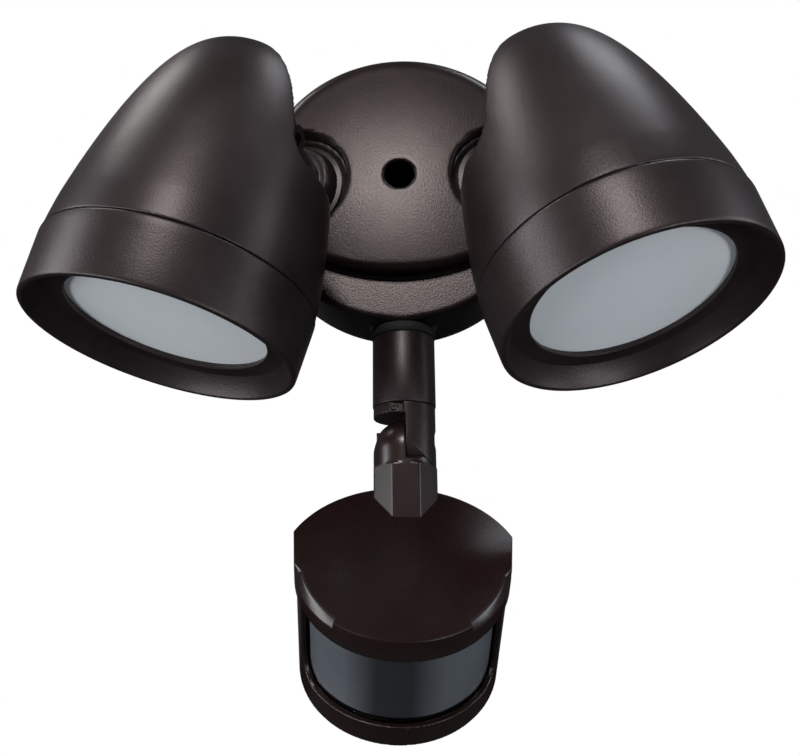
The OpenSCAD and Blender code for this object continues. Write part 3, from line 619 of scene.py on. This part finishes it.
def makeCanopy():
    s = canopySizes
    padR, padOut, padIn = s["pad"]
    wellR, wellFloor, wellT, bossWall = s["well"]
    tabX, tabZ, tabR, tabFoot, screwR, screwTop = s["driverBoss"]
    inside = moved(lathe("inside", domeOutline(s["wall"]), 192), outward)
    fill = [crescentCutter(s["ledgeWall"])]
    seatTop, wellTop = s["seatTop"], s["wellTop"]
    for side in ("left", "right"):
        seat = cylinder(s["seatRadius"] + s["wall"], -s["seatFloor"], seatTop)
        fill.append(moved(seat, seatFrame(side) @ outward))
    fill.append(moved(cylinder(wellR + bossWall, wellFloor - wellT, wellTop, 64), outward))
    for x in (-tabX, tabX):
        fill.append(moved(cylinder(tabR, tabFoot, wellTop, 48), shift(x, 0, tabZ) @ outward))
    fill.append(moved(cylinder(padR, -s["past"], -padIn), stemFrame))
    inside = carve(inside, fill)

    body = moved(lathe("dome", domeOutline(0), 256), outward)
    body = carve(body, [crescentCutter(0)])
    body = united([body, moved(cylinder(padR, -padOut, -padIn), stemFrame)])
    cuts = [inside]
    for side in ("left", "right"):
        cuts.append(moved(cylinder(s["seatRadius"], 0, seatTop), seatFrame(side) @ outward))
        cuts.append(moved(cylinder(s["shank"], -s["seatFloor"] - 1, 1), seatFrame(side) @ outward))
    cuts.append(moved(cylinder(wellR, wellFloor, wellTop, 96), outward))
    cuts.append(moved(cylinder(s["boltHole"], wellFloor - wellT - 1, wellFloor + 1, 48), outward))
    for x in (-tabX, tabX):
        screwHole = cylinder(screwR, tabFoot - 1, screwTop, 32)
        cuts.append(moved(screwHole, shift(x, 0, tabZ) @ outward))
    cuts.append(moved(cylinder(s["nipple"], -padOut - 1, -padIn + 1, 64), stemFrame))
    body = softCast(carve(body, cuts), s["voxel"], s["passes"])
    place("Canopy", body, Matrix(), "base", ["canopy"], paint["canopyBronze"])


# stem and hinge

stemSizes = {
    "gasket": [
        (6.6, -64.3), (12.5, -64.3), (12.8, -64.0), (12.8, -60.6), (12.5, -60.3), (6.6, -60.3),
    ],
    "tube": [
        (4.2, -96.8), (7.2, -96.8), (7.5, -96.5), (7.5, -96.3), (6.6, -96.3), (6.6, -93.9),
        (7.5, -93.9), (7.5, -93.0), (12.1, -93.0), (12.4, -92.85), (12.5, -92.5), (12.5, -64.8),
        (12.35, -64.4), (12.1, -64.3), (6.5, -64.3), (6.5, -47.6), (6.2, -47.3), (4.2, -47.3),
    ],
    "knuckleRadius": 12.2, "knuckleTop": -93.2, "shoulder": -97.2, "floor": -97.0,
    "spigot": 7.55, "seam": 0.1,
    "pocket": (-4.3, 7.3, 1.6),  # middle, width, depth
    "setScrew": (-95.1, 1.2, 8.0),  # height, radius, length
    "pin": (2.05, 15),  # radius, reach to the right
    "nut": (7.6, 7.2),  # where it starts, across its flats
    "channel": (5.0, 7.0, 2.2),  # x, y, radius
    "past": 24, "half": (20, -130, -80),  # where the cutting solids end
    "voxel": 0.28, "passes": 3,
}


def hexagon(flats, low, high):
    return cylinder(flats / math.sqrt(3), low, high, 6)


def makeStem():
    s = stemSizes
    place("StemGasket", lathe("gasket", s["gasket"], 128), stemFrame, "base", ["stem_gasket"],
          paint["rubber"], sharp=50)
    place("StemTube", lathe("tube", s["tube"], 192), stemFrame, "base", ["stem_tube"],
          paint["bronze"], sharp=45)
    r, top, pin = s["knuckleRadius"], s["knuckleTop"], placing["pinZ"]
    alongX = turn(90, "Y")
    disc = cylinder(r, s["shoulder"], top)
    tongue = cylinder(r, pin - r, top)
    wide, low, high = s["half"]
    tongue = carve(tongue, [block(s["seam"], -wide, low, wide, wide, high)], "INTERSECT")
    past = s["past"]
    ends = united([
        moved(cylinder(r, -past, past), shift(0, 0, pin) @ alongX),
        block(-past, -r, pin, past, r, 0),
    ])
    tongue = carve(tongue, [ends], "INTERSECT")
    body = united([disc, tongue])
    px, pw, pt = s["pocket"]
    sz, sr, sl = s["setScrew"]
    nutX, nutFlats = s["nut"]
    cx, cy, cr = s["channel"]
    pinR, pinReach = s["pin"]
    body = carve(body, [
        cylinder(s["spigot"], s["floor"], top + 1, 96),
        moved(cylinder(cr, pin - r - 1, pin + r, 48), shift(cx, cy, 0)),
        block(px - pw / 2, -r - 1, s["shoulder"] - 1, px + pw / 2, -r + pt, top + 1),
        moved(cylinder(sr, 0, sl, 32), shift(px, -r, sz) @ turn(-90, "X")),
        moved(cylinder(pinR, 0, pinReach, 48), shift(0, 0, pin) @ alongX),
        moved(hexagon(nutFlats, nutX, pinReach), shift(0, 0, pin) @ alongX),
    ])
    body = softCast(body, s["voxel"], s["passes"])
    place("StemKnuckle", body, swivelFrame, "knuckle", ["stem_knuckle"],
          paint["bronze"])


# sensor

sensorSizes = {
    "radius": 37.8, "corner": (39.4, 12.4), "rearY": 38.5, "rearRadius": 42.8,
    "brow": 22.5, "bevel": (2.0, 3.0), "bevelEnds": (0.012, 0.10),
    "skirt": 8.2, "wall": 2.2, "top": 2.5,
    "ear": (12.2, -110.4),  # radius, height
    "neck": (-117.0, -156, 8),  # top and foot of the straight-sided part, number of sides
    "horn": -8.0, "seam": 0.1, "tongueGap": 12.4, "tilt": 37.0,
    "pin": (2.05, 20), "screwHead": (3.7, 8.0, 22),  # radius and reach; radius, start, reach
    "channel": (5.0, 7.0, 10.0, 36.0, 22.0, 2.2),  # x, y, top, lean, length, radius
    "past": (25, 90, 150),  # where the neck's cutting solids end
    "bezel": (37.1, 34.9, 52.0, 8.3),  # outer and inner radius, height, top
    "spigot": (35.5, 1, -4.7),  # radius, overlap, top
    "backPlane": 13.0, "backWall": 2.2,
    "lip": (-49.5, -48.0, 3, 1),  # low, high, inward, into the wall
    "post": (3.0, -49.5, -45.7, 5), "postAngles": (-160, -90, -20),
    "screwHole": (1.3, -53, -46.5),  # radius, low, high
    "window": (68.0, 10.2, 42.4, 10.0),  # half angle, top, bottom, lower corners
    "windowCut": (26.0, 46.0, 60.0, 1.5, 1.2),  # radii, outer point, upper corners, step
    "pane": (34.8, 33.2, 70.0, 8.7, 43.9),  # radii, half angle, top, bottom
    "paneCells": (161, 71),
    # the pane's black edge, then a painted reflection across the pane: the middle's x, half width,
    # fade and darkness
    "paneEdge": (2.0, 0.5), "panePaintedReflection": (-2, 6, 12, 0.18),
    "neckVoxel": 0.33, "bezelVoxel": 0.42, "passes": 3,
}


# where the straight side leaves the round front, seen from the middle
def sideAngle():
    x, y = sensorSizes["corner"]
    return math.atan2(y, x) - math.acos(sensorSizes["radius"] / math.hypot(x, y))


# distance of the top's outline from the middle, seen from above
def topRadius(angle):
    s = sensorSizes
    c, q = math.cos(angle), math.sin(angle)
    touch = sideAngle()
    if q < math.sin(touch):
        return s["radius"]
    m = s["rearY"] - s["rearRadius"]  # middle of the arc at the rear
    arc = m * q + math.sqrt(s["rearRadius"] ** 2 - (m * c) ** 2)
    side = s["radius"] / max(abs(c) * math.cos(touch) + q * math.sin(touch), 0.05)
    return min(arc, side)


def makeCapMesh():
    s = sensorSizes
    bevelW, bevelH = s["bevel"]
    riseWidth, fallWidth = s["bevelEnds"]
    browAngle = math.asin(s["brow"] / s["radius"])
    touch = sideAngle()
    corner = math.atan2(s["corner"][1], s["corner"][0])
    angles = set(np.linspace(0, 2 * math.pi, 721)[:-1])
    for a in (-math.pi / 2 - browAngle, -math.pi / 2 + browAngle, math.pi - touch, touch):
        for d in (-0.012, -0.006, 0.0, 0.006, 0.012):
            angles.add((a + d) % (2 * math.pi))
    for a in (corner, math.pi - corner):
        for d in (-0.010, 0.0, 0.010):
            angles.add(a + d)
    angles = sorted(angles)

    def bevelPart(a):
        down = (a + math.pi / 2 + math.pi) % (2 * math.pi) - math.pi
        away = abs(down)
        rise = min(max((away - browAngle) / riseWidth, 0), 1)
        fall = min(max((math.pi / 2 + touch - away) / fallWidth, 0), 1)
        return rise * fall

    rows = [
        lambda b: (bevelW * b + 0.9, 0.0),
        lambda b: (bevelW * b + 0.35, -0.07),
        lambda b: (bevelW * b * 0.96 + 0.08, -0.32),
        lambda b: (bevelW * b * 0.8, -0.7),
        lambda b: (bevelW * b * 0.13, -bevelH + 0.35),
        lambda b: (0.0, -bevelH - 0.15),
        lambda b: (0.0, -s["skirt"] + 0.4),
        lambda b: (0.12, -s["skirt"] + 0.1),
        lambda b: (0.4, -s["skirt"]),
        lambda b: (s["wall"], -s["skirt"]),
        lambda b: (s["wall"], -s["top"]),
    ]
    points = []
    for row in rows:
        for a in angles:
            inset, z = row(bevelPart(a))
            r = topRadius(a) - inset
            points.append((r * math.cos(a), r * math.sin(a), z))
    count = len(angles)
    faces = [(k * count + i, k * count + (i + 1) % count, (k + 1) * count + (i + 1) % count,
              (k + 1) * count + i) for k in range(len(rows) - 1) for i in range(count)]
    faces.append(tuple(range(count)))
    last = (len(rows) - 1) * count
    faces.append(tuple(range(last + count - 1, last - 1, -1)))
    return newMesh("cap", points, faces)


# neck and ear in the swivel frame; the right half is hollow for the tongue
def makeNeckMesh():
    s = sensorSizes
    earR, earZ = s["ear"]
    neckTop, foot, sides = s["neck"]
    corner = 180 / sides
    prism = cylinder(earR / math.cos(math.radians(corner)), foot, neckTop, sides)
    body = united([
        moved(ball(earR), shift(0, 0, earZ)),
        cylinder(earR, neckTop - 0.5, earZ),
        moved(prism, turn(corner, "Z")),
    ])
    toSwivel = swivelFrame.inverted() @ sensorFrame
    pin = shift(0, 0, placing["pinZ"])
    alongX = turn(90, "Y")
    cx, cy, cTop, lean, length, cr = s["channel"]
    headR, headX, headReach = s["screwHead"]
    pinR, pinReach = s["pin"]
    n, wide, back = s["past"]
    seam = pin @ shift(-s["seam"], 0, 0)
    body = carve(body, [
        moved(block(-wide, -wide, -wide, wide, back, -s["top"] / 2), toSwivel),
        moved(cylinder(s["tongueGap"], 0, n, 96), seam @ alongX),
        moved(block(0, -n, s["horn"], n, n, n), seam),
        moved(block(0, -n, 0, n, n, n), seam @ turn(s["tilt"], "X")),
        moved(cylinder(pinR, -pinReach, 1, 48), pin @ alongX),
        moved(cylinder(headR, -headReach, -headX, 64), pin @ alongX),
        moved(cylinder(cr, -length, 0, 48), pin @ shift(cx, cy, -cTop) @ turn(-lean, "X")),
    ])
    body = softCast(body, s["neckVoxel"], s["passes"])
    return moved(body, toSwivel.inverted())


# opening of the window: a rounded rectangle bent round the sensor
def windowCutter():
    s = sensorSizes
    half, top, bottom, corner = s["window"]
    radius = s["bezel"][0]
    arc = math.radians(half) * radius
    inR, outR, point, upper, step = s["windowCut"]
    outline = []
    for cx, cz, start, cr in ((arc, -top, 0, upper), (-arc, -top, 90, upper),
                              (-arc, -bottom, 180, corner), (arc, -bottom, 270, corner)):
        sx, sz = (-1 if cx > 0 else 1), (-1 if start < 180 else 1)
        for i in range(11):
            a = math.radians(start + 9 * i)
            outline.append((cx + sx * cr + cr * math.cos(a), cz + sz * cr + cr * math.sin(a)))
    fine = []
    for i, (x0, z0) in enumerate(outline):  # more points along the long edges
        x1, z1 = outline[(i + 1) % len(outline)]
        steps = max(1, int(math.hypot(x1 - x0, z1 - z0) / step))
        fine += [(x0 + (x1 - x0) * k / steps, z0 + (z1 - z0) * k / steps) for k in range(steps)]
    count = len(fine)
    middle = -(top + bottom) / 2
    points = []
    for r in (inR, outR):
        for x, z in fine:
            a = x / radius
            points.append((r * math.sin(a), -r * math.cos(a), z))
    points += [(0, 0, middle), (0, -point, middle)]
    faces = [(i, (i + 1) % count, count + (i + 1) % count, count + i) for i in range(count)]
    faces += [(2 * count, (i + 1) % count, i) for i in range(count)]
    outer = [(count + i, count + (i + 1) % count) for i in range(count)]
    faces += [(a, b, 2 * count + 1) for a, b in outer]
    return newMesh("opening", points, faces)


# tone on the pane's points: black at its edge, and a painted reflection, dark in its middle and
# paler at both sides
def paintPaneEdgeAndReflection(pane, radius):
    s = sensorSizes
    half, high, low, corner = s["window"]
    toLocal = sensorFrame.inverted()
    edgeAndPaintedReflection = pane.data.color_attributes.new("edgeAndPaintedReflection", "FLOAT_COLOR", "POINT")
    arc = math.radians(half) * radius
    black, fade = s["paneEdge"]
    reflectionX, reflectionHalf, reflectionFade, reflectionDarkness = s["panePaintedReflection"]
    for v in pane.data.vertices:
        p = toLocal @ (v.co / mm)
        x = math.atan2(p.x, -p.y) * radius
        edge = min(arc - abs(x), -p.z - high, low + p.z)
        cx, cz = max(0.0, abs(x) - (arc - corner)), max(0.0, -p.z - (low - corner))
        if cx > 0 and cz > 0:
            edge = min(edge, corner - math.hypot(cx, cz))
        rim = min(max((edge - black) / fade, 0.0), 1.0)
        # painted reflection: darker in the middle, paler towards both sides
        sides = min(max((abs(x - reflectionX) - reflectionHalf) / reflectionFade, 0.0), 1.0)
        k = rim * (reflectionDarkness + (1 - reflectionDarkness) * sides)
        edgeAndPaintedReflection.data[v.index].color = (k, k, k, 1)


def makeSensor():
    s = sensorSizes
    place("SensorHead", makeCapMesh(), sensorFrame, "sensor", ["sensor_head"],
          paint["sensorPlastic"], sharp=32)
    place("SensorNeck", makeNeckMesh(), sensorFrame, "sensor", [],
          paint["neckPlastic"])

    outR, inR, height, top = s["bezel"]
    toSensor = sensorFrame.inverted() @ swivelFrame
    plane = s["backPlane"]
    spigotR, overlap, spigotTop = s["spigot"]

    def inFrontOf(y):  # all that lies in front of a plane beside the wall
        n = s["past"][2]
        return moved(block(-n, -n, -2 * n, n, y, 2 * n), toSensor)

    def atPosts(radius, low, high, steps):
        at = shift(inR - postIn, 0, 0)
        return [moved(cylinder(radius, low, high, steps), turn(a, "Z") @ at)
                for a in s["postAngles"]]

    body = united([
        cylinder(outR, -height, -top, 240),
        cylinder(spigotR, -top - overlap, spigotTop, 240),
    ])
    body = carve(body, [inFrontOf(plane)], "INTERSECT")
    inside = cylinder(inR, -height - 1, 0, 240)
    inside = carve(inside, [inFrontOf(plane - s["backWall"])], "INTERSECT")
    body = carve(body, [inside])
    low, high, inward, into = s["lip"]
    postR, postLow, postHigh, postIn = s["post"]
    lip = lathe("lip", [(inR + into, low), (inR - inward, low), (inR - inward, high),
                        (inR + into, high)], 240)
    lip = united([lip] + atPosts(postR, postLow, postHigh, 48))
    lip = carve(lip, [inFrontOf(plane - into)], "INTERSECT")
    body = united([body, lip])
    cuts = [windowCutter()] + atPosts(*s["screwHole"], 32)
    body = softCast(carve(body, cuts), s["bezelVoxel"], s["passes"])
    place("SensorBezel", body, sensorFrame, "sensor", ["sensor_bezel"],
          paint["sensorPlastic"])

    r1, r0, half, high, low = s["pane"]
    points, faces = [], []
    columns = np.linspace(-half, half, s["paneCells"][0])
    levels = np.linspace(-low, -high, s["paneCells"][1])
    for r in (r1, r0):
        for z in levels:
            for a in columns:
                a = math.radians(a)
                points.append((r * math.sin(a), -r * math.cos(a), z))
    w, h = len(columns), len(levels)
    for k in range(2):
        for j in range(h - 1):
            for i in range(w - 1):
                q = k * w * h + j * w + i
                faces.append((q, q + 1, q + w + 1, q + w))
    rim = [i for i in range(w)] + [j * w + w - 1 for j in range(1, h)]
    rim += [(h - 1) * w + i for i in range(w - 2, -1, -1)] + [j * w for j in range(h - 2, 0, -1)]
    for n, a in enumerate(rim):
        b = rim[(n + 1) % len(rim)]
        faces.append((a, b, b + w * h, a + w * h))
    pane = place("SensorWindow", newMesh("pane", points, faces), sensorFrame, "sensor",
                 ["sensor_window"], paint["smokedWithPaintedReflection"], sharp=40)
    # paints the black edge and the painted reflection onto the pane's points
    paintPaneEdgeAndReflection(pane, r1)


# the pieces that keep their frame meshes only take a surface

slotPaint = {
    "bronze_cast": "bronze", "sensor_plastic": "sensorPlastic", "smoked_window": "smokedWithPaintedReflection",
    "zinc_steel": "zinc", "green_screw": "greenScrew", "driver_case": "driverCase",
    "black_rubber": "rubber", "frosted_lens": "frosted", "white_reflector": "whitePlastic",
    "led_board_white": "boardWhite", "led_yellow": "ledYellow",
    "bare_aluminium": "bareAluminium", "circuit_board": "circuitBoard", "dial_black": "dialBlack",
}


# screws that show in the photo are plated dark
darkNodes = (
    "left_pivot_bolt", "right_pivot_bolt", "left_pivot_washer", "right_pivot_washer",
    "stem_set_screw", "hinge_screw", "hinge_nut", "mounting_bolt",
)


def paintFrameNodes():
    for part in frame["record"]["subparts"]:
        piece = nodes[part["node"]]
        look = "darkZinc" if part["node"] in darkNodes else slotPaint[part["material_slot"]]
        piece.data.materials.clear()
        piece.data.materials.append(paint[look])


paintFrameNodes()
for side in ("left", "right"):
    makeHeadShell(side)
    makeRing(side)
    makeArm(side)
    print(side, "head and arm ready")
makeCanopy()
print("canopy ready")
makeStem()
print("stem ready")
makeSensor()
print("sensor ready")


# light and floor

lightAim = (0, -0.04, -0.08)
lightSetup = {
    "left": {
        "place": (-0.8, -0.3, 0.05), "size": (0.3, 0.8), "power": 5.0,
        "color": (0.97, 0.98, 1.0),
    },
    "right": {
        "place": (0.85, -0.25, 0.12), "size": (0.3, 0.7), "power": 3.0,
        "color": (0.85, 0.93, 1.0),
    },
    "front": {
        "place": (-0.06, -0.8, 0.42), "size": (0.16, 0.16), "power": 4.0,
        "color": (1.0, 0.96, 0.94),
    },
    "aboveLeft": {
        "place": (-0.5, -0.08, 0.7), "size": (0.12, 0.26), "power": 1.3,
        "color": (1.0, 0.98, 0.97),
    },
    "aboveRight": {
        "place": (0.3, -0.08, 0.7), "size": (0.12, 0.26), "power": 1.0,
        "color": (0.9, 0.95, 1.0),
    },
    "lowLeft": {
        "place": (-0.45, -0.5, -0.34), "size": (0.4, 0.2), "power": 2.1,
        "color": (0.95, 0.97, 1.0),
    },
    "lowRight": {
        "place": (0.5, -0.55, -0.34), "size": (0.4, 0.2), "power": 2.1,
        "color": (0.95, 0.97, 1.0),
    },
}
floorSetup = {
    "height": -0.42, "size": 6.0, "color": (0.50, 0.50, 0.50), "glow": 0.97,
    "seenByObject": (0.08, 0.08, 0.08),
}
worldSetup = {"light": 0.07, "tint": (0.93, 0.96, 1.0)}


def makeLights():
    for name, l in lightSetup.items():
        data = bpy.data.lights.new(name, "AREA")
        data.shape = "RECTANGLE"
        data.size, data.size_y = l["size"]
        data.energy = l["power"]
        data.color = l["color"]
        lamp = bpy.data.objects.new(name, data)
        lamp.location = l["place"]
        facing = Vector(lightAim) - Vector(l["place"])
        lamp.rotation_euler = facing.to_track_quat("-Z", "Y").to_euler()
        scene.collection.objects.link(lamp)


def makeFloor():
    f = floorSetup
    half = f["size"]
    corners = [(-half, -half, 0), (half, -half, 0), (half, half, 0), (-half, half, 0)]
    mesh = newMesh("floor", corners, [(0, 1, 2, 3)])
    # the floor looks pale but throws little light back up at the light's underside
    look = {"dark": f["color"], "light": f["color"], "rough": (0.7, 0.9), "bump": 0.02}
    m = surface("floor", look)
    tree = m.node_tree
    glow = tree.nodes.new("ShaderNodeEmission")
    glow.inputs["Color"].default_value = (1, 1, 1, 1)
    glow.inputs["Strength"].default_value = f["glow"]
    both = tree.nodes.new("ShaderNodeAddShader")
    dim = tree.nodes.new("ShaderNodeBsdfDiffuse")
    dim.inputs["Color"].default_value = (*f["seenByObject"], 1)
    pick = tree.nodes.new("ShaderNodeMixShader")
    path = tree.nodes.new("ShaderNodeLightPath")
    tree.links.new(tree.nodes["Principled BSDF"].outputs["BSDF"], both.inputs[0])
    tree.links.new(glow.outputs["Emission"], both.inputs[1])
    tree.links.new(path.outputs["Is Camera Ray"], pick.inputs["Fac"])
    tree.links.new(dim.outputs["BSDF"], pick.inputs[1])
    tree.links.new(both.outputs["Shader"], pick.inputs[2])
    tree.links.new(pick.outputs["Shader"], tree.nodes["Material Output"].inputs["Surface"])
    mesh.materials.append(m)
    floor = bpy.data.objects.new("floor", mesh)
    floor.location = (0, 0, f["height"])
    scene.collection.objects.link(floor)


def makeWorld():
    world = bpy.data.worlds.new("world")
    scene.world = world
    world.use_nodes = True
    tree = world.node_tree
    sky = tree.nodes["Background"]
    sky.inputs["Color"].default_value = (*worldSetup["tint"], 1)
    sky.inputs["Strength"].default_value = worldSetup["light"]
    plain = tree.nodes.new("ShaderNodeBackground")
    plain.inputs["Color"].default_value = (1, 1, 1, 1)
    mix = tree.nodes.new("ShaderNodeMixShader")
    path = tree.nodes.new("ShaderNodeLightPath")
    tree.links.new(path.outputs["Is Camera Ray"], mix.inputs["Fac"])
    tree.links.new(sky.outputs["Background"], mix.inputs[1])
    tree.links.new(plain.outputs["Background"], mix.inputs[2])
    tree.links.new(mix.outputs["Shader"], tree.nodes["World Output"].inputs["Surface"])


makeLights()
makeFloor()
makeWorld()
scene.view_settings.view_transform = "Standard"
print("light, floor and world ready")


# the camera, seen from below and a little to the right

cameraSetup = {
    "place": (14.467, -357.88, -188.19),
    "focal": 894.5,
    "pitch": 0.310,
    "yaw": -0.029,
    "roll": -0.016,
    "middle": (415.3, 374.4),
    "image": (800, 756),
}


def makeCamera():
    c = cameraSetup
    wide, tall = c["image"]
    data = bpy.data.cameras.new("camera")
    data.sensor_width = 36.0
    data.lens = c["focal"] / wide * 36.0
    data.shift_x = (wide / 2 - c["middle"][0]) / wide
    data.shift_y = (c["middle"][1] - tall / 2) / wide
    data.clip_start, data.clip_end = 0.01, 20.0
    cp, sp = math.cos(c["pitch"]), math.sin(c["pitch"])
    cy, sy = math.cos(c["yaw"]), math.sin(c["yaw"])
    forward = Vector((sy * cp, cy * cp, sp))
    right = Vector((cy, -sy, 0.0))
    up = right.cross(forward)
    cr, sr = math.cos(c["roll"]), math.sin(c["roll"])
    rightRolled = cr * right + sr * up
    upRolled = -sr * right + cr * up
    facing = Matrix((rightRolled, upRolled, -forward)).transposed()
    camera = bpy.data.objects.new("camera", data)
    camera.matrix_world = Matrix.Translation(Vector(c["place"]) * mm) @ facing.to_4x4()
    scene.collection.objects.link(camera)
    scene.camera = camera


makeCamera()
print("camera ready")
